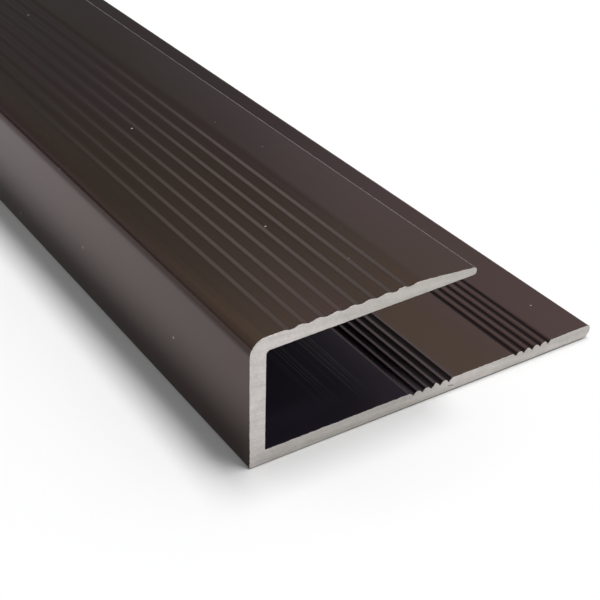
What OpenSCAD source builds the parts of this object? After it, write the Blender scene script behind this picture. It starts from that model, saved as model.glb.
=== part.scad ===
// Floor edge profile: one aluminium extrusion, anodised dark bronze and sawn to length.
// A wide grooved base leg goes under the floor, a web stands at its back, and a ribbed flange
// reaches over the floor's edge. The section lies in the XZ plane and runs along Y.
// The base rests on Z = 0, the origin is under the middle of the base, and +X is the open side.

/* [Stock] */
// Length that the extrusion is cut to
profile_l = 900; // [100:10:3000]

/* [Base leg] */
// Width from the outer face of the web to the free edge
base_w = 38; // [34:0.5:60]
// Thickness of the base
base_t = 1.4; // [1:0.05:2.5]
// Radius under the free edge
base_edge_low_r = 0.9; // [0.1:0.05:1.5]
// Radius over the free edge
base_edge_top_r = 0.45; // [0.1:0.05:1]

/* [Web and channel] */
// Thickness of the web
web_t = 1.5; // [1:0.05:2.5]
// Clear height of the channel, beside the web
channel_h = 9.8; // [6:0.1:20]
// Radius of the outer corner between web and base
heel_r = 0.2; // [0.05:0.05:1]
// Radius of the inner corner between web and base
channel_foot_r = 0.15; // [0.05:0.05:1]
// Radius of the inner corner between web and flange
channel_head_r = 0.4; // [0.05:0.05:1]
// Radius of the outer corner between web and flange
crown_r = 1.5; // [0.2:0.1:2]

/* [Flange] */
// Reach from the outer face of the web to the free edge
flange_w = 22.5; // [18:0.5:32]
// Thickness of the flange before its nose
flange_t = 1.35; // [1.1:0.05:2.5]
// How much wider the channel is at its mouth than beside the web
mouth_flare = 0.55; // [0:0.05:1]
// Length of the nose, where the top slopes down to the free edge
nose_l = 6; // [3:0.1:8]
// Thickness at the free edge
nose_t = 0.72; // [0.6:0.02:1.1]
// Radius where the top turns down into the nose
nose_bend_r = 5; // [2:1:40]
// Radius under the free edge
nose_low_r = 0.3; // [0.05:0.05:0.5]
// Radius over the free edge
nose_top_r = 0.35; // [0.05:0.05:0.5]

/* [Flange ribs] */
// Distance from the outer face of the web to the bottom of the first groove
rib_first_x = 3.85; // [2.5:0.05:8]
// Distance from groove to groove
rib_pitch = 1.66; // [1.4:0.02:3]
// Least distance from the bottom of the last groove to the nose
rib_last_gap = 0.9; // [0.8:0.1:4]
// Width of a groove's long slope, on the side of the web
rib_slope_w = 0.7; // [0.4:0.05:0.9]
// Width of a groove's short rise, on the side of the nose
rib_rise_w = 0.6; // [0.25:0.05:0.7]
// Depth of a groove before its bottom is rounded
rib_groove_d = 0.19; // [0.05:0.01:0.3]
// Radius of a groove's two shoulders
rib_shoulder_r = 0.4; // [0.1:0.1:1.5]
// Radius of a groove's bottom
rib_root_r = 0.8; // [0.1:0.05:1]

/* [Base grip grooves] */
// Grooves in each of the two groups
grip_count = 5; // [2:1:5]
// Distance from groove to groove
grip_pitch = 1; // [0.8:0.05:1.2]
// Distance from the outer face of the web to the first groove of the inner group
grip_inner_x = 16.75; // [5:0.05:18]
// Distance from the free edge to the last groove of the outer group
grip_outer_inset = 5.4; // [2:0.05:6]
// Width of a groove
grip_groove_w = 0.58; // [0.4:0.02:0.74]
// Depth of a groove
grip_groove_d = 0.36; // [0.1:0.02:0.5]
// Radius of a groove's two shoulders
grip_shoulder_r = 0.39; // [0.05:0.01:0.5]
// Radius of a groove's bottom
grip_root_r = 0.05; // [0.02:0.01:0.1]

/* [Hidden] */
$fn = 64;
bronze = [0.2, 0.17, 0.155];

// How far a rounding laps past the edges that it rounds
lap = 0.05;

// The flange climbs away from the web by this much for each millimetre
flare_slope = mouth_flare / (flange_w - web_t);
nose_x = flange_w - nose_l;
rib_count = floor((nose_x - rib_last_gap - rib_first_x) / rib_pitch) + 1;
grip_outer_x = base_w - grip_outer_inset - (grip_count - 1) * grip_pitch;

// Edge radii stay within the walls that they round
edge_low_r = min(base_edge_low_r, 0.65 * base_t);
edge_top_r = min(base_edge_top_r, 0.32 * base_t);
tip_low_r = min(nose_low_r, 0.48 * nose_t);
tip_top_r = min(nose_top_r, 0.48 * nose_t);

// Shoulders stay within the land between two grooves and within the side that they round, which leaves
// the bottom its own part of that side
rib_slope_turn = atan(rib_groove_d / rib_slope_w);
rib_rise_turn = atan(rib_groove_d / rib_rise_w);
rib_land = rib_pitch - rib_slope_w - rib_rise_w;
rib_rise_side = norm([rib_rise_w, rib_groove_d]);
rib_lip_r = min(
    rib_shoulder_r,
    0.9 * rib_land / (tan(rib_slope_turn / 2) + tan(rib_rise_turn / 2)),
    0.5 * rib_rise_side / tan(rib_rise_turn / 2)
);
rib_bottom_r = min(rib_root_r, 0.45 * rib_rise_side / tan((rib_slope_turn + rib_rise_turn) / 2));
grip_turn = atan(2 * grip_groove_d / grip_groove_w);
grip_side = norm([grip_groove_w / 2, grip_groove_d]);
grip_lip_r = min(grip_shoulder_r, 0.45 * min(grip_pitch - grip_groove_w, grip_side) / tan(grip_turn / 2));
grip_bottom_r = min(grip_root_r, 0.5 * grip_side / tan(grip_turn));

// The nose's bend stays clear of the last groove
nose_turn = atan((flange_t - nose_t) / nose_l);
bend_room = min(nose_l / 2, rib_last_gap - rib_rise_w - rib_lip_r * tan(rib_rise_turn / 2));
bend_r = min(nose_bend_r, bend_room / tan(nose_turn / 2));

// Height of the flange's straight underside, and of its straight top, above the floor
function under_z(x) = base_t + channel_h + flare_slope * (x - web_t);
function top_z(x) = under_z(x) + flange_t;

function unit(v) = v / norm(v);
function cross_z(u, v) = u[0] * v[1] - u[1] * v[0];

// The section's sharp corners, anticlockwise from the heel, each with its radius
corners = [
    [[0, 0], heel_r],
    [[base_w, 0], edge_low_r],
    [[base_w, base_t], edge_top_r],
    [[web_t, base_t], channel_foot_r],
    [[web_t, under_z(web_t)], channel_head_r],
    [[flange_w, under_z(flange_w)], tip_low_r],
    [[flange_w, under_z(flange_w) + nose_t], tip_top_r],
    [[nose_x, top_z(nose_x)], bend_r],
    [[0, top_z(0)], crown_r],
];

// The sliver between a sharp corner and the arc that touches both of its edges. One edge runs from the
// corner towards point a, and the other towards point b, which lies clockwise of a
module corner_sliver(corner, a, b, r) {
    u = unit(a - corner);
    v = unit(b - corner);
    half_angle = acos(u * v) / 2;
    reach = r / tan(half_angle);
    centre = corner + unit(u + v) * r / sin(half_angle);
    grow = (r + lap) / r;
    difference() {
        polygon([
            for (p = [centre, corner + u * reach, corner, corner + v * reach])
                centre + (p - centre) * grow
        ]);
        translate(centre) circle(r);
    }
}

// Slivers at the section's outer corners, which are taken away, or at its inner ones, which are filled
module corner_slivers(outer) {
    last = len(corners) - 1;
    for (i = [0 : last]) {
        here = corners[i][0];
        before = corners[i == 0 ? last : i - 1][0];
        after = corners[i == last ? 0 : i + 1][0];
        is_outer = cross_z(here - before, after - here) > 0;
        if (is_outer && outer) corner_sliver(here, before, after, corners[i][1]);
        if (!is_outer && !outer) corner_sliver(here, after, before, corners[i][1]);
    }
}

module plain_section() {
    difference() {
        polygon([for (c = corners) c[0]]);
        corner_slivers(outer = true);
    }
    corner_slivers(outer = false);
}

// A groove to cut into a flat surface at the origin, with round shoulders and a round bottom
module groove(left_w, right_w, depth, shoulder_r, root_r) {
    left = [-left_w, 0];
    right = [right_w, 0];
    root = [0, -depth];
    difference() {
        union() {
            polygon([left, root, right, right + [0, lap], left + [0, lap]]);
            corner_sliver(left, root, left - [left_w, 0], shoulder_r);
            corner_sliver(right, right + [right_w, 0], root, shoulder_r);
        }
        corner_sliver(root, left, right, root_r);
    }
}

module rib_grooves() {
    for (i = [0 : 1 : rib_count - 1]) {
        x = rib_first_x + i * rib_pitch;
        translate([x, top_z(x)]) rotate(atan(flare_slope))
            groove(rib_slope_w, rib_rise_w, rib_groove_d, rib_lip_r, rib_bottom_r);
    }
}

module grip_grooves(first_x) {
    side_w = grip_groove_w / 2;
    for (i = [0 : grip_count - 1])
        translate([first_x + i * grip_pitch, base_t])
            groove(side_w, side_w, grip_groove_d, grip_lip_r, grip_bottom_r);
}

module section() {
    difference() {
        plain_section();
        rib_grooves();
        grip_grooves(grip_inner_x);
        grip_grooves(grip_outer_x);
    }
}

module edge_profile() {
    color(bronze) rotate([90, 0, 0])
        linear_extrude(height = profile_l, center = true)
            translate([-base_w / 2, 0]) section();
}

edge_profile();
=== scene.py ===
# %% [markdown]
# A floor edge profile, cut from a long aluminium extrusion
#
# The object is one piece of metal. A press pushes hot aluminium through a steel die, so the same
# section runs from end to end. The bar is then dipped to grow a dark bronze oxide film, and sawn to
# length, which leaves two bare ends. This lesson draws the section as a line with round corners,
# sweeps it along the bar, and gives it two finishes. The packed CAD model is loaded first, because
# its box says how long and wide the bar is.

# %% Load the frame
import math

import bpy
from mathutils import Matrix, Vector, noise


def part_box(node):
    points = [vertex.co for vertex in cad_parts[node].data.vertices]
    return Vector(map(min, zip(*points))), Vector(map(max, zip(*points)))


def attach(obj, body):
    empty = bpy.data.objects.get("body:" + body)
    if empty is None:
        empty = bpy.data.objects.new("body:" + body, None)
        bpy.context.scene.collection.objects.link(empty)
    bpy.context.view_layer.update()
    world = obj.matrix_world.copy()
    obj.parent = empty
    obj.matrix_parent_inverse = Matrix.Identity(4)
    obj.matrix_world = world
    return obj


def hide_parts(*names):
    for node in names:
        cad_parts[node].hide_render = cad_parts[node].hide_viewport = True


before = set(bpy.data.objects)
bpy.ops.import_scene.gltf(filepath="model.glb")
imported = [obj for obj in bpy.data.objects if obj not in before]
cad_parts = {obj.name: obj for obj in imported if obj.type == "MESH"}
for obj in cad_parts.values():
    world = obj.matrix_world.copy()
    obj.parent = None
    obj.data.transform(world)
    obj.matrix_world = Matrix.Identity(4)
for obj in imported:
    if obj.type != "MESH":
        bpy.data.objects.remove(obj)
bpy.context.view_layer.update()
MM = 0.001
low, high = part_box("edge_profile")
print("bar", [round(side / MM, 2) for side in high - low], "mm")

# %% [markdown]
# The camera stands close to one sawn end and looks down along the bar. A long lens keeps the near
# end from swelling. Its place is given from the heel, the outer bottom corner of that end. Its three
# turns are the yaw from the bar's own direction, the pitch below level and a slight roll. Building
# the matrix from the camera's three axes keeps each turn readable, which Euler angles would not.

# %% Place the camera
IMAGE_SIDE = 600
SENSOR = 36.0
FOCAL_PIXELS = 1242.4
YAW = math.radians(33.92)
PITCH = math.radians(32.28)
ROLL = math.radians(1.77)
CAMERA_FROM_HEEL = Vector((-40.64, -67.08, 66.02)) * MM
CLIP_START = 5 * MM


def camera_axes(yaw, pitch, roll):
    """Right, up and forward directions of a camera that is turned, tipped and rolled."""
    level = math.cos(pitch)
    forward = Vector((math.sin(yaw) * level, math.cos(yaw) * level, -math.sin(pitch)))
    flat_right = Vector((math.cos(yaw), -math.sin(yaw), 0.0))
    flat_up = flat_right.cross(forward)
    right = flat_right * math.cos(roll) + flat_up * math.sin(roll)
    up = flat_up * math.cos(roll) - flat_right * math.sin(roll)
    return right, up, forward


right, up, forward = camera_axes(YAW, PITCH, ROLL)
camera_turn = Matrix((right, up, -forward)).transposed().to_4x4()
heel = Vector((low.x, low.y, 0.0))
camera_data = bpy.data.cameras.new("bench_camera")
camera_data.sensor_width = SENSOR
camera_data.lens = SENSOR * FOCAL_PIXELS / IMAGE_SIDE
camera_data.clip_start = CLIP_START
camera = bpy.data.objects.new("bench_camera", camera_data)
camera.matrix_world = Matrix.Translation(heel + CAMERA_FROM_HEEL) @ camera_turn
bpy.context.scene.collection.objects.link(camera)
bpy.context.scene.camera = camera
print("lens", round(camera_data.lens, 1), "mm")

# %% [markdown]
# The section has a wide base, a web and a shorter flange that climbs towards a thinned nose. Its
# sizes are the bar's own, in millimetres from the heel, and every corner has the radius that the die
# gives it. A tracing of the outline would fit as well, but sizes with names can be checked with a
# caliper and changed one at a time.

# %% Write down the section's sizes
base_w = (high.x - low.x) / MM
base_t = 1.4
base_edge_low_r = 0.9
base_edge_top_r = 0.448
web_t = 1.5
channel_h = 9.8
heel_r = 0.2
channel_foot_r = 0.15
channel_head_r = 0.4
crown_r = 1.5
flange_w = 22.5
flange_t = 1.35
mouth_flare = 0.55
nose_l = 6.0
nose_t = 0.72
nose_bend_r = 4.55
nose_low_r = 0.3
nose_top_r = 0.3456
nose_x = flange_w - nose_l
flare_slope = mouth_flare / (flange_w - web_t)


def under_z(x):
    """Height of the flange's underside."""
    return base_t + channel_h + flare_slope * (x - web_t)


def top_z(x):
    """Height of the flange's top, before its nose."""
    return under_z(x) + flange_t


mouth_h = under_z(flange_w) - base_t
print("channel is", channel_h, "mm high at the web and", round(mouth_h, 2), "mm at its mouth")

# %% [markdown]
# The flange has a row of shallow grooves, to give a shoe some grip. Each falls in a long slope, turns
# in a round bottom and climbs in a shorter rise. The base has two groups of deep, sharp grooves, to
# hold glue. Cutting them with Boolean solids would leave rough shading, so a groove is three more
# corners of the section: a shoulder, a root and a shoulder. The loops run from right to left, because
# that is the way the section's line passes these upper faces.

# %% Draw the grooves
rib_first_x = 3.85
rib_pitch = 1.66
rib_count = 8
rib_slope_w = 0.7
rib_rise_w = 0.6
rib_groove_d = 0.19
rib_shoulder_r = 0.4
rib_root_r = 0.8
grip_count = 5
grip_pitch = 1.0
grip_inner_x = 16.75
grip_outer_inset = 5.4
grip_side_w = 0.29
grip_groove_d = 0.36
grip_shoulder_r = 0.39
grip_root_r = 0.05
grip_outer_x = base_w - grip_outer_inset - (grip_count - 1) * grip_pitch
rib_shape = (rib_slope_w, rib_rise_w, rib_groove_d, rib_shoulder_r, rib_root_r)
grip_shape = (grip_side_w, grip_side_w, grip_groove_d, grip_shoulder_r, grip_root_r)


def groove(x, z, tilt, left_w, right_w, depth, shoulder_r, root_r):
    """The three corners of a groove in a surface with this tilt, from right to left."""
    flat = [(right_w, 0.0, shoulder_r), (0.0, -depth, root_r), (-left_w, 0.0, shoulder_r)]
    level, steep = math.cos(tilt), math.sin(tilt)
    return [(x + level * u - steep * v, z + steep * u + level * v, r) for u, v, r in flat]


grips = []
for first_x in (grip_outer_x, grip_inner_x):
    for i in reversed(range(grip_count)):
        grips += groove(first_x + i * grip_pitch, base_t, 0.0, *grip_shape)
ribs = []
for i in reversed(range(rib_count)):
    rib_x = rib_first_x + i * rib_pitch
    ribs += groove(rib_x, top_z(rib_x), math.atan(flare_slope), *rib_shape)
print(len(grips) // 3, "glue grooves and", len(ribs) // 3, "flange grooves")

# %% [markdown]
# A die is drawn as sharp corners with a radius at each, and so is the section here: one ring of
# corners, anticlockwise from the heel. Each entry is a distance from the heel, a height and a radius.

# %% List the section's corners
tip_z = under_z(flange_w)
corners = [(0, 0, heel_r), (base_w, 0, base_edge_low_r), (base_w, base_t, base_edge_top_r)]
corners += grips
corners += [(web_t, base_t, channel_foot_r), (web_t, under_z(web_t), channel_head_r)]
corners += [(flange_w, tip_z, nose_low_r), (flange_w, tip_z + nose_t, nose_top_r)]
corners += [(nose_x, top_z(nose_x), nose_bend_r)]
corners += ribs
corners += [(0, top_z(0), crown_r)]
print("section has", len(corners), "corners")

# %% [markdown]
# Each corner becomes an arc. Walking the ring anticlockwise, the direction of travel swings evenly
# from one edge to the next, and the outward normal is that direction turned a quarter to the right.
# A Bevel modifier makes round corners too. But here the true normal of every point is kept, and that
# lets broad flats stay flat in a reflection, where normals averaged from the faces would bend light
# near every edge.

# %% Round the corners
ARC_STEP = math.radians(7.0)
LEAST_ARC_STEPS = 3


def rounded(ring):
    """Points of the ring with its corners as arcs, and the outward normal at each point."""
    points = []
    normals = []
    spots = [Vector(corner[:2]) for corner in ring]
    for i, corner in enumerate(spots):
        came = (corner - spots[i - 1]).normalized()
        goes = (spots[(i + 1) % len(spots)] - corner).normalized()
        turn = math.atan2(came.x * goes.y - came.y * goes.x, came.dot(goes))
        side = math.copysign(ring[i][2], turn)
        start = corner - came * abs(side) * math.tan(abs(turn) / 2)
        centre = start - Vector((came.y, -came.x)) * side
        count = max(LEAST_ARC_STEPS, math.ceil(abs(turn) / ARC_STEP))
        for k in range(count + 1):
            swing = Matrix.Rotation(turn * k / count, 2) @ came
            normal = Vector((swing.y, -swing.x))
            points.append(centre + normal * side)
            normals.append(normal)
    return points, normals


arc_points, arc_normals = rounded(corners)
print("arcs have", len(arc_points), "points")

# %% [markdown]
# The straight runs between the arcs need points as well, because the saw's ragged edge has to move
# something. Blender's Subdivide would split every edge alike. This walk splits only the long ones.

# %% Divide the straight runs
RUN_STEP = 0.15


def divided(points, normals):
    """The same ring, with no two neighbours further apart than the run step."""
    more_points = []
    more_normals = []
    for i, point in enumerate(points):
        after = (i + 1) % len(points)
        count = max(1, math.ceil((points[after] - point).length / RUN_STEP))
        for k in range(count):
            more_points.append(point.lerp(points[after], k / count))
            more_normals.append(normals[i].lerp(normals[after], k / count).normalized())
    return more_points, more_normals


outline, outward = divided(arc_points, arc_normals)
ring_size = len(outline)
widest = max(point.x for point in outline)
tallest = max(point.y for point in outline)
print(ring_size, "points, section", round(widest, 3), "by", round(tallest, 3), "mm")

# %% [markdown]
# A saw doesn't leave a clean edge. Where its teeth come out of the metal they push up a ragged lip,
# here and there a flake of it stands up, and the blade's exit leaves small scallops down the web's
# outer edge. Sculpting would do for one end. Noise along the section does both ends, and gives the
# same edge on every run.

# %% Tear the sawn edges
RAGGED = 0.05
COARSE_PER_MM = 1.9
FINE_PER_MM = 5.3
FINE_SEED = 9.0
SCALLOP_DEPTH = 0.07
SCALLOP_PITCH = 0.45
SCALLOP_TOP = 8.0
FLAKE_REACH = 0.5
NEAR_SEED = 3.0
FAR_SEED = 40.0


def flake(x, z, tall, half_w):
    """A flake of the lip: its place in the section, how tall it stands and half its width."""
    return {"x": x, "z": z, "tall": tall, "half_w": half_w}


near_flakes = [flake(19.25, base_t, 0.13, 0.22)]
near_flakes += [flake(14.3, top_z(14.3), 0.12, 0.1), flake(14.75, top_z(14.75), 0.09, 0.1)]
far_flakes = [flake(10.9, top_z(10.9), 0.1, 0.1), flake(30.1, base_t, 0.14, 0.13)]


def raggedness(point, normal, seed, flakes):
    """How far the saw lifts the edge at a point of the section, in millimetres."""
    coarse = noise.noise(Vector((point.x * COARSE_PER_MM, point.y * COARSE_PER_MM, seed)))
    fine = noise.noise(Vector((point.x * FINE_PER_MM, point.y * FINE_PER_MM, seed + FINE_SEED)))
    upward = 0.45 + 0.55 * max(normal.y, 0.0)
    lift = RAGGED * upward * (0.7 * coarse + 0.9 * fine)
    for piece in flakes:
        if normal.y > 0.3 and abs(point.y - piece["z"]) < FLAKE_REACH:
            lift += piece["tall"] * max(0.0, 1.0 - abs(point.x - piece["x"]) / piece["half_w"])
    if normal.x < -0.9 and point.x < 0.1:
        wave = abs(math.sin(math.pi * point.y / SCALLOP_PITCH + 2.0 * coarse))
        lift -= SCALLOP_DEPTH * wave * max(0.0, 1.0 - point.y / SCALLOP_TOP)
    return lift


near_lifts = [raggedness(*spot, NEAR_SEED, near_flakes) for spot in zip(outline, outward)]
print("near edge lies", round(min(near_lifts), 3), "to", round(max(near_lifts), 3), "mm off the section")

# %% [markdown]
# Each end gets four rings of points: the rim of the cut face, the broken edge, the sound metal behind
# it, and one more a few millimetres in, which only helps the texture map later. The saw moves the
# first two. The base's lower edge, which rests on the saw's table, is broken more than the others. A
# Bevel on the finished bar would break all edges alike.

# %% Set out the rings at the ends
EDGE_BREAK = 0.03
LOWER_BREAK = 0.02
SOUND_DEPTH = 0.25
MAP_DEPTH = 3.0
ring_depths = (0.0, EDGE_BREAK, SOUND_DEPTH, MAP_DEPTH)


def end_rings(y, inward, seed, flakes):
    """The four rings at one end, from the cut face inwards, in the bar's frame and in metres."""
    end = [[] for depth in ring_depths]
    for point, normal in zip(outline, outward):
        lift = raggedness(point, normal, seed, flakes)
        lower = max(-normal.y, 0.0) if point.y < base_t / 2 else 0.0
        broken = EDGE_BREAK + LOWER_BREAK * lower
        outs = (lift - broken, lift, 0.0, 0.0)
        for ring, depth, out in zip(end, ring_depths, outs):
            spot = point + normal * out
            x = min(low.x + max(spot.x, 0.0) * MM, high.x)
            z = min(max(spot.y, 0.0) * MM, high.z)
            extra = LOWER_BREAK * lower if depth == EDGE_BREAK else 0.0
            ring.append(Vector((x, y + inward * (depth + extra) * MM, z)))
    return end


near_rings = end_rings(low.y, 1, NEAR_SEED, near_flakes)
far_rings = end_rings(high.y, -1, FAR_SEED, far_flakes)
rings = near_rings + far_rings[::-1]
print(len(rings), "rings of", ring_size)

# %% [markdown]
# Every ring has the same number of points, so the skin is a plain grid of quads, and one face closes
# each end. An extruded curve would give the same sweep, but not the ragged rings at its ends.

# %% Join the rings into one mesh
last = len(rings) - 1
vertices = [spot for ring in rings for spot in ring]
faces = []
for row in range(last):
    for k in range(ring_size):
        here = row * ring_size + k
        beside = row * ring_size + (k + 1) % ring_size
        faces.append((here, here + ring_size, beside + ring_size, beside))
faces.append(tuple(range(ring_size)))
faces.append(tuple(range(last * ring_size, (last + 1) * ring_size))[::-1])
mesh = bpy.data.meshes.new("bronze_edge_profile")
mesh.from_pydata(vertices, [], faces)
mesh.update()
print(len(mesh.vertices), "vertices,", len(mesh.polygons), "faces")

# %% [markdown]
# Each face corner then gets its own normal. The skin takes the section's, the cut faces look straight
# out along the bar, and the broken edge between them looks halfway, so it catches light as a real one
# does. The cut faces and the broken edges are bare metal, and the rest is bronze film.

# %% Set the normals and the finishes
FILM = 0
BARE = 1
split_normals = []
for polygon in mesh.polygons:
    polygon.use_smooth = True
    row = polygon.index // ring_size
    is_cut = row >= last
    is_broken = row in (0, last - 1)
    polygon.material_index = BARE if is_cut or is_broken else FILM
    for vertex in polygon.vertices:
        endways = Vector((0, -1 if vertex < len(vertices) / 2 else 1, 0))
        flat_out = outward[vertex % ring_size]
        sideways = Vector((flat_out.x, 0, flat_out.y))
        if is_cut:
            normal = endways
        elif is_broken:
            normal = endways + sideways
        else:
            normal = sideways
        split_normals.append(normal.normalized())
mesh.normals_split_custom_set(split_normals)
profile = bpy.data.objects.new("bronze_edge_profile", mesh)
bpy.context.scene.collection.objects.link(profile)
print(len(split_normals), "normals set")

# %% [markdown]
# A bar this long and thin needs its own texture map, because an automatic one would waste most of the
# picture. The skin is unrolled with the bar's length along U and the section's outline along V, so
# the streaks run straight, and the last millimetres of each end get more of U than their share. The
# two cut faces lie above it, side by side and much enlarged.

# %% Unwrap the bar
SKIN_V = 0.78
END_U = (0.0, 0.004, 0.012, 0.04)
CUT_U = 0.01
CUT_U_STEP = 0.5
CUT_U_SPAN = 0.47
CUT_V = SKIN_V + 0.02
CUT_V_SPAN = 0.19
QUAD_STEPS = ((0, 0), (1, 0), (1, 1), (0, 1))
ring_u = END_U + tuple(1.0 - u for u in END_U[::-1])
walked = [0.0]
for k in range(ring_size):
    walked.append(walked[-1] + (outline[(k + 1) % ring_size] - outline[k]).length)
ring_v = [SKIN_V * length / walked[-1] for length in walked]
layer = mesh.uv_layers.new(name="OFBake")
for polygon in mesh.polygons:
    row, k = divmod(polygon.index, ring_size)
    for corner, loop in enumerate(polygon.loop_indices):
        if row < last:
            row_step, k_step = QUAD_STEPS[corner]
            layer.data[loop].uv = (ring_u[row + row_step], ring_v[k + k_step])
        else:
            point = outline[polygon.vertices[corner] % ring_size]
            u = CUT_U + CUT_U_STEP * k + CUT_U_SPAN * point.x / base_w
            layer.data[loop].uv = (u, CUT_V + CUT_V_SPAN * point.y / tallest)
print("outline is", round(walked[-1], 1), "mm long")

# %% [markdown]
# Shader maths reads best as plain formulas, so this small class wraps one socket of a node tree.
# Adding or multiplying two wires adds a Math node, and the method called node makes any other node:
# its settings go in first, then the values or wires of its sockets. The last methods are the ramps,
# mixes and patterns that both finishes and the room use.

# %% Wrap sockets so that formulas make nodes


class Wire:
    """One output socket of a node tree, which takes part in Python arithmetic."""

    def __init__(self, tree, socket=None):
        self.tree = tree
        self.socket = socket

    def node(self, kind, settings=None, sockets=None, out=0):
        """A new node with its settings, then its sockets' values or wires."""
        made = self.tree.nodes.new(kind)
        for name, value in (settings or {}).items():
            setattr(made, name, value)
        for name, value in (sockets or {}).items():
            if isinstance(value, Wire):
                self.tree.links.new(value.socket, made.inputs[name])
            else:
                made.inputs[name].default_value = value
        return Wire(self.tree, made.outputs[out] if made.outputs else None)

    def math(self, operation, *values):
        """A Math node on these values or wires."""
        return self.node("ShaderNodeMath", {"operation": operation}, dict(enumerate(values)))

    def __add__(self, other):
        return self.math("ADD", self, other)

    def __radd__(self, other):
        return self.math("ADD", other, self)

    def __sub__(self, other):
        return self.math("SUBTRACT", self, other)

    def __rsub__(self, other):
        return self.math("SUBTRACT", other, self)

    def __mul__(self, other):
        return self.math("MULTIPLY", self, other)

    def __rmul__(self, other):
        return self.math("MULTIPLY", other, self)

    def __abs__(self):
        return self.math("ABSOLUTE", self)

    def part(self, axis):
        """One part of this vector."""
        return self.node("ShaderNodeSeparateXYZ", None, {0: self}, "XYZ".index(axis))

    def step(self, start, end):
        """0 below start, 1 above end, and a smooth ramp between them."""
        sockets = {"Value": self, "From Min": start, "From Max": end}
        return self.node("ShaderNodeMapRange", {"interpolation_type": "SMOOTHSTEP"}, sockets)

    def blend(self, first, second):
        """A value that goes from first to second as this one goes from 0 to 1."""
        return first + (second - first) * self

    def tint(self, first, second):
        """A colour that goes from first to second as this value goes from 0 to 1."""
        settings = {"data_type": "RGBA", "blend_type": "MIX"}
        return self.node("ShaderNodeMix", settings, {0: self, 6: first, 7: second}, 2)

    def in_units(self, x, y, z):
        """This place, measured in units of so many millimetres along each axis."""
        sockets = {0: self, 1: (1 / (x * MM), 1 / (y * MM), 1 / (z * MM))}
        return self.node("ShaderNodeVectorMath", {"operation": "MULTIPLY"}, sockets)

    def grain(self, x, y, z, detail=2.0, rough=0.5):
        """Noise about 0.5 at this place, with features of that many millimetres."""
        sockets = {"Vector": self.in_units(x, y, z), "Scale": 1.0, "Detail": detail, "Roughness": rough}
        return self.node("ShaderNodeTexNoise", None, sockets)

    def cells(self, side, out):
        """A cell pattern at this place, with one point in each cell of that many millimetres."""
        sockets = {"Vector": self.in_units(side, side, side), "Scale": 1.0}
        return self.node("ShaderNodeTexVoronoi", None, sockets, out)


print("wires can", ", ".join(name for name in vars(Wire) if not name.startswith("_")))

# %% [markdown]
# Both finishes begin with an empty material, and both need to know where they are. Places are read
# from the object itself and turned into millimetres of the section, so a mask can say how far a point
# lies from the heel, above the floor, or behind the nearest cut. Painted masks would blur up close,
# and a formula stays sharp.

# %% Start the film and measure places on it


def new_finish(name):
    """An empty material, and a wire into its tree."""
    material = bpy.data.materials.new(name)
    material.use_nodes = True
    material.node_tree.nodes.clear()
    return material, Wire(material.node_tree)


def section_place(wire):
    """The object's own place, and the millimetres from the heel and above the floor."""
    spot = wire.node("ShaderNodeTexCoord", None, None, "Object")
    return spot, (spot.part("X") - low.x) * (1 / MM), spot.part("Z") * (1 / MM)


bronze, film_wire = new_finish("bronze_film")
place, across, height = section_place(film_wire)
behind_cut = (high.y - abs(place.part("Y"))) * (1 / MM)
print("places use", len(film_wire.tree.nodes), "nodes")

# %% [markdown]
# The film differs from region to region, partly in its own tone and partly in painted shade and light,
# so masks pick out its regions: the channel as far as the first glue groove, the bottoms of the glue
# grooves, the web, the bend above it, the base, the flange's top with its two smooth rims, and the ribs
# near the cut. A step names the two places, in millimetres, between which a mask fades in.

# %% Mask the regions of the film
CHANNEL_MARGIN = 0.65
grip_start = grip_inner_x - CHANNEL_MARGIN
in_channel = across.step(0.8, 1.0) - across.step(grip_start, grip_start + 0.15)
in_channel = in_channel * (height.step(0.9, 1.1) - height.step(12.0, 12.2))
in_groove = (1 - height.step(base_t - 0.3, base_t - 0.05)) * across.step(grip_start, grip_start + 0.1)
in_groove = in_groove * height.step(0.7, 0.8)
at_web = 1 - across.step(0.2, 1.2)
on_web = at_web * (1 - height.step(11.3, 11.7))
# The next mask is a band at the foot of the bend, where a dark painted shade goes.
crown_painted_shade = at_web * height.step(10.6, 11.7) * (1 - height.step(11.55, 11.72))
on_base = (1 - height.step(1.5, 2.0)) * across.step(grip_start, grip_start + 0.2)
on_top = height.step(11.5, 12.0)
on_rims = on_top * (1 - across.step(2.2, 3.6) + across.step(16, 18))
# The last mask marks the ribs near the cut, which are painted darker as shade.
ribs_painted_shade = on_top * across.step(7, 11) * (1 - across.step(16, 17)) * (1 - behind_cut.step(8, 40))
print("channel mask ends", grip_start, "mm from the heel")

# %% [markdown]
# Seen closely, the film is more than a flat brown. The die draws fine lines along the whole bar, the
# bath leaves faint clouds, and the etch before it a speckle and a fine grain. On the channel's floor
# the die's lines show as thin scratches, and their pale colour is a painted highlight. All of these are
# noise, stretched along the bar by as much as the real mark is, so none of them needs a picture.

# %% Draw the film's grain
die_lines = place.grain(0.3, 500, 0.3, 3.0, 0.6)
clouds = place.grain(9, 70, 9)
speckle = place.grain(0.16, 0.22, 0.16) - 0.5
etch = place.grain(0.07, 0.07, 0.07, 1.0)
# The scratches are real die lines, and their pale colour, laid on later, is a painted highlight.
scratches_and_glints = place.grain(0.06, 240, 0.06, 1.0).step(0.6, 0.68) * across.step(7.5, 9.5) * in_channel
scratches_and_glints = scratches_and_glints * place.grain(1.4, 300, 1.4).step(0.38, 0.6) * behind_cut.step(1.0, 7.0)
print("with masks and grain,", len(film_wire.tree.nodes), "nodes")
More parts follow.
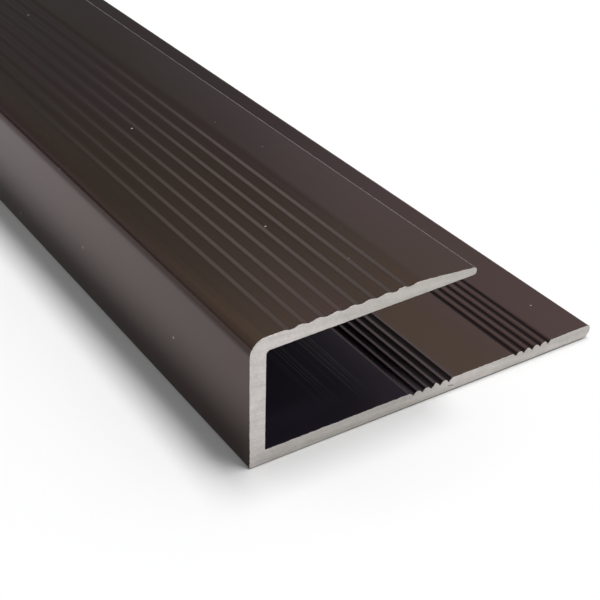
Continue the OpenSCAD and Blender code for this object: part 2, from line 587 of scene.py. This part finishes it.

# %% [markdown]
# The brown drifts between olive and a redder tone, and each of the two has a deep and a pale shade.
# The grain moves the shade everywhere. The base and the flange's smooth rims are paler than the rest.
# The ribs near the cut are painted deeper, as painted shade. The web is painted deeper too, most near
# the cut, with a painted lightening near its foot that offsets the table's shade it mirrors. One flat
# brown would look painted.

# %% Mix the brown
OLIVE_DEEP = (0.054, 0.0325, 0.019, 1)
OLIVE_PALE = (0.086, 0.0525, 0.033, 1)
RUSSET_DEEP = (0.056, 0.031, 0.025, 1)
RUSSET_PALE = (0.088, 0.0515, 0.048, 1)
# The web is painted darker, most near the cut, with a painted lightening near its foot against the
# table's shade that it mirrors.
web_painted_shade = on_web * (0.32 - 0.15 * behind_cut.step(10, 60) - 0.3 * (1 - height.step(1.5, 5)))
shade = 0.23 + 0.36 * clouds + 0.4 * die_lines + 0.6 * speckle - web_painted_shade
# The ribs near the cut are painted darker, as painted shade.
shade = shade + 0.25 * on_base + 0.25 * on_rims - 0.3 * ribs_painted_shade
drift = place.grain(11, 90, 11) + 0.008 * (across - 14) + 0.2 * at_web + 0.15 * on_web
olive = shade.tint(OLIVE_DEEP, OLIVE_PALE)
russet = shade.tint(RUSSET_DEEP, RUSSET_PALE)
brown = drift.step(0.35, 0.65).tint(olive, russet)
print("with the brown,", len(film_wire.tree.nodes), "nodes")

# %% [markdown]
# Some regions leave the common brown, and most of them carry painted shade or light. The channel
# under the flange is painted cold and dark as shade, near-black at its mouth and at the cut, and paler
# deep inside. The first lands between the glue grooves are painted dark as shade under the flange, and
# the lands beyond them get a pale painted sheen. The grooves' bottoms are dull and painted dark as
# shade, and the first ones paler, to lift that shade. The web is a little greyer, and a painted dark
# band of shade lies at the foot of the bend above it. The channel's scratches get their pale painted
# highlight here. Each is one more colour laid over the ones before it, as glazes are.

# %% Tint the regions, with painted shade and light
# The channel's colours are painted shade and light: near-black at the mouth and the cut, paler deep
# inside.
CHANNEL_SHADE_AT_CUT = (0.03, 0.025, 0.04, 1)
CHANNEL_PAINTED_INSIDE = (0.1, 0.085, 0.135, 1)
CHANNEL_SHADE_AT_MOUTH = (0.021, 0.014, 0.026, 1)
WEB_GREY = (0.053, 0.043, 0.031, 1)
# A painted dark band of shade at the foot of the bend over the web.
CROWN_SHADE_COLOUR = (0.006, 0.005, 0.005, 1)
# The first lands are painted dark as shade, and the next ones get a pale painted sheen.
FIRST_LANDS_SHADE = (0.025, 0.022, 0.042, 1)
NEXT_LANDS_SHEEN = (0.1, 0.08, 0.098, 1)
# Groove bottoms are painted dark as shade, and the first ones paler to lift that shade.
FIRST_GROOVES_LIFT = (0.17, 0.16, 0.19, 1)
GROOVES_SHADE = (0.06, 0.056, 0.062, 1)
# The scratches' pale colour is a painted highlight.
SCRATCH_GLINT = (0.34, 0.31, 0.33, 1)
channel_inner_painted_tone = behind_cut.step(0.5, 5.0).tint(CHANNEL_SHADE_AT_CUT, CHANNEL_PAINTED_INSIDE)
channel_painted_tone = across.step(6, 14).tint(channel_inner_painted_tone, CHANNEL_SHADE_AT_MOUTH)
land_painted_tone = across.step(16.5, 19.5).tint(FIRST_LANDS_SHADE, NEXT_LANDS_SHEEN)
past_first = across.step(16.5, 20)
groove_painted_tone = past_first.tint(FIRST_GROOVES_LIFT, GROOVES_SHADE)
glazes = [
    (in_channel, channel_painted_tone),
    (0.4 * on_web, WEB_GREY),
    (0.55 * crown_painted_shade, CROWN_SHADE_COLOUR),
    (0.5 * on_base * (1 - across.step(21.2, 21.5)), land_painted_tone),
    (0.7 * in_groove, groove_painted_tone),
    (0.9 * scratches_and_glints, SCRATCH_GLINT),
]
film_colour = brown
for cover, glaze in glazes:
    film_colour = cover.tint(film_colour, glaze)
print(len(glazes), "glazes,", len(film_wire.tree.nodes), "nodes")

# %% [markdown]
# Dust lies on the film in a few pale and dark specks: a cell pattern gives each cell one point, and
# only the points that happen to lie in the surface show. Near the cut, the saw chips the film off in
# ragged nicks, so bare metal shows there. Small loose meshes would do for the dust, but specks in the
# finish can't come apart from the bar.

# %% Add dust and chips
DUST_CELL = 3.6
DUST_DARK = (0.012, 0.011, 0.012, 1)
DUST_PALE = (0.42, 0.40, 0.38, 1)
CHIPPED = (0.5, 0.49, 0.47, 1)
CHIP_REACH = 0.6
dust = 1 - place.cells(DUST_CELL, "Distance").step(0.026, 0.044)
dust_kind = place.cells(DUST_CELL, "Color").part("X")
dust_colour = dust_kind.step(0.3, 0.35).tint(DUST_DARK, DUST_PALE)
chip_edge = CHIP_REACH * (place.grain(0.22, 0.6, 0.22) - 0.62)
chips = (chip_edge - behind_cut).step(-0.03, 0.03)
dusty_colour = (0.75 * dust).tint(film_colour, dust_colour)
skin_colour = chips.tint(dusty_colour, CHIPPED)
print("with dust and chips,", len(film_wire.tree.nodes), "nodes")

# %% [markdown]
# Bronze anodising is a thin clear oxide with dark metal salts in it. It looks like a dark satin metal
# with a faint lacquer on top, and a little light scatters in the salts. So the shader is mostly metal,
# with a thin coat, and it is less metallic in the grooves and deep in the channel. The lines and the
# etched grain move its roughness and its bump. One function ends this finish and the next one.

# %% Finish the bronze film
BUMP_DEPTH = 0.05 * MM
FILM_BUMP = 0.12
COAT_SHARE = 0.18


def finish_mesh(material, wire, relief, strength, sockets):
    """End a finish with a bump and a Principled shader, and give it to the bar."""
    heights = {"Height": relief, "Strength": strength, "Distance": BUMP_DEPTH}
    bump = wire.node("ShaderNodeBump", None, heights)
    surface = wire.node("ShaderNodeBsdfPrincipled", None, {**sockets, "Normal": bump})
    wire.node("ShaderNodeOutputMaterial", None, {"Surface": surface})
    mesh.materials.append(material)
    print(material.name, "has", len(wire.tree.nodes), "nodes")


metal_share = 0.85 - in_groove * (0.7 - 0.3 * past_first)
metal_share = metal_share - 0.3 * in_channel * (1 - across.step(12.5, 15.5))
film_rough = 0.15 + 0.07 * die_lines + 0.05 * clouds + 0.08 * in_channel + 0.12 * chips + 0.2 * dust
film_relief = 0.6 * die_lines + 0.25 * etch + 0.4 * scratches_and_glints - 0.5 * chips
film_sockets = {
    "Base Color": skin_colour,
    "Metallic": metal_share * (1 - dust),
    "Roughness": film_rough,
    "Specular Tint": (0.74, 0.715, 0.73, 1),
    "Coat Weight": COAT_SHARE * (1 - 0.7 * in_channel) * (1 - chips) * (1 - 0.6 * crown_painted_shade),
    "Coat Roughness": 0.2,
    "Coat IOR": 1.5,
}
finish_mesh(bronze, film_wire, film_relief, FILM_BUMP, film_sockets)

# %% [markdown]
# The ends are bare aluminium, dull and nearly white. A saw tears the metal rather than polishing it,
# and its teeth travel along the base. So the face carries fine scores that lean a little, broader
# bands where the blade shook, a mottle and small tears. A photograph of sawn metal would show all of
# them, but noise needs no file and never repeats.

# %% Score the cut faces
SCORE_LEAN = 0.05
sawn, saw_wire = new_finish("sawn_metal")
cut_place, cut_across, cut_height = section_place(saw_wire)
leaning_z = cut_place.part("Z") + SCORE_LEAN * cut_place.part("X")
leaning_axes = {0: cut_place.part("X"), 1: cut_place.part("Y"), 2: leaning_z}
leaning_place = saw_wire.node("ShaderNodeCombineXYZ", None, leaning_axes)
scores = leaning_place.grain(3.5, 1.0, 0.08, 2.0, 0.6)
bands = leaning_place.grain(9, 1.0, 0.7)
mottle = cut_place.grain(1.3, 1.0, 1.3, 3.0, 0.6)
tears = cut_place.grain(0.3, 1.0, 0.16, 2.0, 0.6)
print("scores use", len(saw_wire.tree.nodes), "nodes")

# %% [markdown]
# Dark marks lie on the cut faces too: pits where the blade caught, and one longer nick in the near
# end's base. Along the base's lower edge, where the cut meets the table, lies a painted line of contact
# shadow. They are joined into one mask, because all three are dark, dull and a little sunken.

# %% Pit and nick the cut faces, and paint a shadow line along the base
PIT_CELL = 1.7
NICK_ACROSS = 20.95
NICK_HEIGHT = 0.63
NICK_SLOPE = 0.25
SHADOW_LINE_TOP = 0.11
pits = 0.5 - 0.5 * cut_place.cells(PIT_CELL, "Distance").step(0.02, 0.05)
nick_x = cut_across - NICK_ACROSS
nick_z = cut_height - NICK_HEIGHT + NICK_SLOPE * nick_x
nick = (1 - abs(nick_x).step(0.2, 0.45)) * (1 - abs(nick_z).step(0.02, 0.08))
nick = nick * (1 - cut_place.part("Y").step(-0.01, 0.01))
# Along the base's lower edge, where the cut meets the table, a line of painted contact shadow.
shadow_line_edge = SHADOW_LINE_TOP + 0.12 * (cut_place.grain(1.5, 1.0, 1.5) - 0.5)
painted_contact_shadow = (1 - (cut_height - shadow_line_edge).step(-0.03, 0.03)) * (0.5 + 0.5 * cut_across.step(6, 16))
marks_and_painted_shadow = saw_wire.math("MAXIMUM", saw_wire.math("MAXIMUM", pits, nick), painted_contact_shadow)
print("with marks,", len(saw_wire.tree.nodes), "nodes")

# %% [markdown]
# The bare metal runs between two pale greys, as the scores, bands, mottle and tears say. The base is
# greyer than the web, by an amount that changes along it, and the flange is greyer too. The metal
# scatters more light than the film, so it is rougher and has a deeper bump.

# %% Finish the sawn metal
CUT_DULL = (0.545, 0.514, 0.5, 1)
CUT_BRIGHT = (0.77, 0.727, 0.707, 1)
SAW_GREY = (0.3, 0.296, 0.235, 1)
MARK_AND_SHADOW_BLACK = (0.035, 0.032, 0.03, 1)
SAWN_BUMP = 0.25
tone = 0.12 * scores + 0.28 * bands + 0.35 * mottle + 0.25 * tears
clean_colour = tone.step(0.34, 0.66).tint(CUT_DULL, CUT_BRIGHT)
base_grey = 0.15 + 0.12 * cut_across.step(1, 3) - 0.1 * cut_across.step(15, 21)
base_grey = (base_grey + 0.11 * cut_across.step(25, 28)) * (1 - cut_height.step(1.0, 2.4))
low_grey = (1 - cut_height.step(0.5, 0.8)) * (0.07 - 0.15 * cut_across.step(27, 31))
flange_grey = 0.3 * cut_height.step(10, 11) * cut_across.step(1, 14)
grey_colour = (base_grey + low_grey + flange_grey).tint(clean_colour, SAW_GREY)
cut_sockets = {
    # The black covers the real pits and nick and the painted contact shadow.
    "Base Color": (0.85 * marks_and_painted_shadow).tint(grey_colour, MARK_AND_SHADOW_BLACK),
    "Metallic": 1 - 0.9 * marks_and_painted_shadow,
    "Roughness": 0.42 + 0.2 * mottle + 0.1 * scores,
}
cut_relief = 0.4 * scores + 0.4 * mottle + 0.4 * tears - 0.6 * marks_and_painted_shadow
finish_mesh(sawn, saw_wire, cut_relief, SAWN_BUMP, cut_sockets)

# %% [markdown]
# The mesh now takes the place of the CAD solid, and rides on the part's only body.

# %% Dress the CAD part
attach(profile, "root")
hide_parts("edge_profile")
print("profile replaces edge_profile")

# %% [markdown]
# The bar lies on a plain pale table, wide enough to fill the picture from any side. Its material is
# matt, and what the camera or a reflection sees of it is lifted a little, so that it reads as white
# and still keeps the bar's shadow. A stronger lamp would whiten it too, but would bleach the bar.

# %% Lay the table
TABLE_HALF = 40.0
TABLE_DROP = 0.02 * MM
TABLE_PAINT = (0.9, 0.9, 0.9, 1)
WHITE_LIFT = 0.02
table_corners = [(TABLE_HALF * x, TABLE_HALF * y, 0) for x, y in ((-1, -1), (1, -1), (1, 1), (-1, 1))]
table_mesh = bpy.data.meshes.new("pale_table")
table_mesh.from_pydata(table_corners, [], [(0, 1, 2, 3)])
table = bpy.data.objects.new("pale_table", table_mesh)
table.location.z = -TABLE_DROP
bpy.context.scene.collection.objects.link(table)
pale, table_wire = new_finish("pale_table")
ray_kinds = ("Is Camera Ray", "Is Glossy Ray", "Is Transmission Ray")
seen, mirrored, through = [table_wire.node("ShaderNodeLightPath", None, None, kind) for kind in ray_kinds]
lift = table_wire.node("ShaderNodeEmission", None, {"Strength": WHITE_LIFT * (seen + mirrored + through)})
matt = table_wire.node("ShaderNodeBsdfDiffuse", None, {"Color": TABLE_PAINT})
both = table_wire.node("ShaderNodeAddShader", None, {0: matt, 1: lift})
table_wire.node("ShaderNodeOutputMaterial", None, {"Surface": both})
table_mesh.materials.append(pale)
print("table is", 2 * TABLE_HALF, "m wide")

# %% [markdown]
# A metal shows the room around it, so the room is part of the finish. A studio would have real walls
# and cards. Here the World holds them all as formulas on the way that a ray leaves: how far it goes
# to the right, forth along the bar, and up. Nothing then stands in the way when the bar is seen from
# another side.

# %% Open the room
world = bpy.data.worlds.new("studio")
bpy.context.scene.world = world
world.use_nodes = True
world.node_tree.nodes.clear()
room_wire = Wire(world.node_tree)
way = room_wire.node("ShaderNodeTexCoord", None, None, "Generated")
to_right, forth, rise = [way.part(axis) for axis in "XYZ"]
print("room starts with", len(room_wire.tree.nodes), "nodes")

# %% [markdown]
# Ahead, past the bar's far end, stands a cool dark wall, darkest low down, under a bright ceiling. The
# top mirrors it, which turns the brown from deep at the far end to warm near the cut. On the left the
# room ahead is dim near the floor and lighter above it, which shades the bend over the web.

# %% Stand a dark wall ahead
WALL_WAY = Vector((0.097, 0.966, 0.238))
facing = {0: way, 1: WALL_WAY}
toward_wall = room_wire.node("ShaderNodeVectorMath", {"operation": "DOT_PRODUCT"}, facing, "Value")
dark_wall = toward_wall.step(0.818, 0.907)
wall_depth = 0.59 + 0.05 * to_right.step(0.36, 0.43) * (1 - rise.step(0.35, 0.41))
wall_depth = wall_depth + 0.2 * (1 - rise.step(0.12, 0.28))
ceiling = (0.42 + 0.3 * to_right.step(-0.1, 0.25)) * rise.step(0.45, 0.8)
low_left = 0.15 + 0.55 * (1 - forth.step(0.7, 0.8))
high_left = 1.1 - 0.18 * forth.step(0.72, 0.84)
left_share = rise.step(0.08, 0.3).blend(low_left, high_left)
room_ahead = (0.45 + ceiling) * (1 - dark_wall * wall_depth)
room_ahead = room_ahead * to_right.step(-0.4, -0.05).blend(left_share, 1)
print("with the wall,", len(room_wire.tree.nodes), "nodes")

# %% [markdown]
# Beside and behind the camera the room is grey, and lighter on the right. Three smaller things matter
# to a mirror like this one. Low on the right runs a warm bright strip, which the ribs' slopes catch as
# thin lines. A pale band lies low behind the camera and to its left, and lights the sawn end. Far to
# the right, low down, the room is dim, so that the steepest slopes don't flare.

# %% Light the sides
room_beside = (0.31 + 0.41 * to_right.step(0.05, 0.6)) * (0.6 + 0.4 * forth.step(-0.3, 0.15))
room_beside = room_beside * (0.7 + 0.3 * rise.step(0.1, 0.35))
strip = (1 - (forth - 0.5 * (rise - 0.24)).step(0.785, 0.882)) * to_right.step(0.4, 0.5)
strip = strip * (0.3 + 0.7 * rise.step(0.15, 0.24)) * (1 - rise.step(0.225, 0.315))
strip = strip * (0.44 + 0.56 * forth.step(0.65, 0.79))
low_band = (1 - rise.step(0.1, 0.22)) * (1 - forth.step(0.1, 0.4)) * (1 - to_right.step(0.0, 0.4))
dim_right = to_right.step(0.71, 0.78) * (1 - rise.step(0.28, 0.42))
print("with the sides,", len(room_wire.tree.nodes), "nodes")

# %% [markdown]
# These parts add up to one level of light and one colour for every way that a ray can go. The wall
# cools the colour a little, and the strip warms it.

# %% Add up the room's light
WHITE = (1, 1, 1, 1)
WALL_COOL = (0.87, 0.98, 1.04, 1)
STRIP_WARM = (1, 0.92, 0.87, 1)
around = forth.step(0.5, 0.68).blend(room_beside, room_ahead)
level = (around + 0.5 * strip + 0.55 * low_band) * (1 - 0.6 * dim_right)
light_colour = strip.tint(dark_wall.tint(WHITE, WALL_COOL), STRIP_WARM)
glow = room_wire.node("ShaderNodeBackground", None, {"Color": light_colour, "Strength": level})
room_wire.node("ShaderNodeOutputWorld", None, {"Surface": glow})
print("room has", len(room_wire.tree.nodes), "nodes")

# %% [markdown]
# One soft window hangs almost overhead, a little to the right, and faces the near end. In its light
# the bar shades the table beside the web, and the web mirrors that shade. A sun lamp would draw hard
# edges, so this is an area lamp, as wide as a real window.

# %% Hang the window
WINDOW_FROM_END = Vector((0.39, -0.05, 1.5))
WINDOW_W = 1.2
WINDOW_H = 0.45
WINDOW_WATTS = 20.8
near_end = Vector((0, low.y, 0))
window_data = bpy.data.lights.new("right_window", "AREA")
window_data.shape = "RECTANGLE"
window_data.size = WINDOW_W
window_data.size_y = WINDOW_H
window_data.energy = WINDOW_WATTS
window = bpy.data.objects.new("right_window", window_data)
window.location = near_end + WINDOW_FROM_END
window.rotation_euler = (-WINDOW_FROM_END).to_track_quat("-Z", "Y").to_euler()
bpy.context.scene.collection.objects.link(window)
print("window gives", WINDOW_WATTS, "W")

# %% [markdown]
# Last, the picture's colours are set to Blender's Standard view transform.

# %% Finish
bpy.context.scene.view_settings.view_transform = "Standard"
